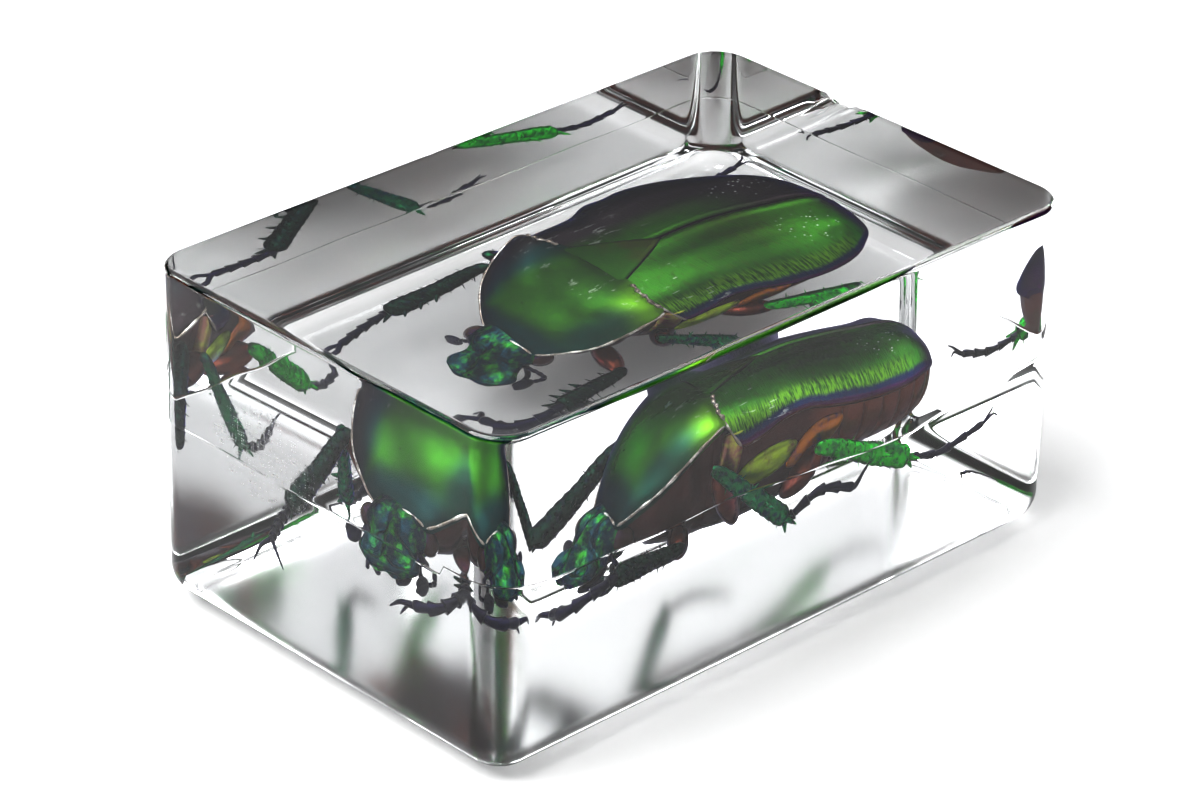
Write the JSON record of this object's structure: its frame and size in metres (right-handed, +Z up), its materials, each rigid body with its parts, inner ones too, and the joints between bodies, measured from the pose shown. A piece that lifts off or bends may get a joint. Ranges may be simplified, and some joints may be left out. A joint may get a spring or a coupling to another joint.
{
  "type": "insect in resin block",
  "caption": "Dried green flower chafer with its legs spread, sealed in a small clear rectangular resin block with rounded lower edges.",
  "frame": {"origin": "centre of the block's flat underside", "axes": "+X along the block's length, towards the beetle's tail, +Y towards the beetle's left side, +Z up through the block's flat top"},
  "size_m": [0.044, 0.0286, 0.0208],
  "materials": {
    "green_beetle_shell": "metallic green shell with dark purple margins, brown underside and black feet",
    "clear_resin": "polished clear casting resin, refractive index about 1.52"
  },
  "bodies": {
    "root": {"beetle": "green_beetle_shell", "resin_block_lower": "clear_resin", "resin_block_upper": "clear_resin"}
  },
  "joints": []
}
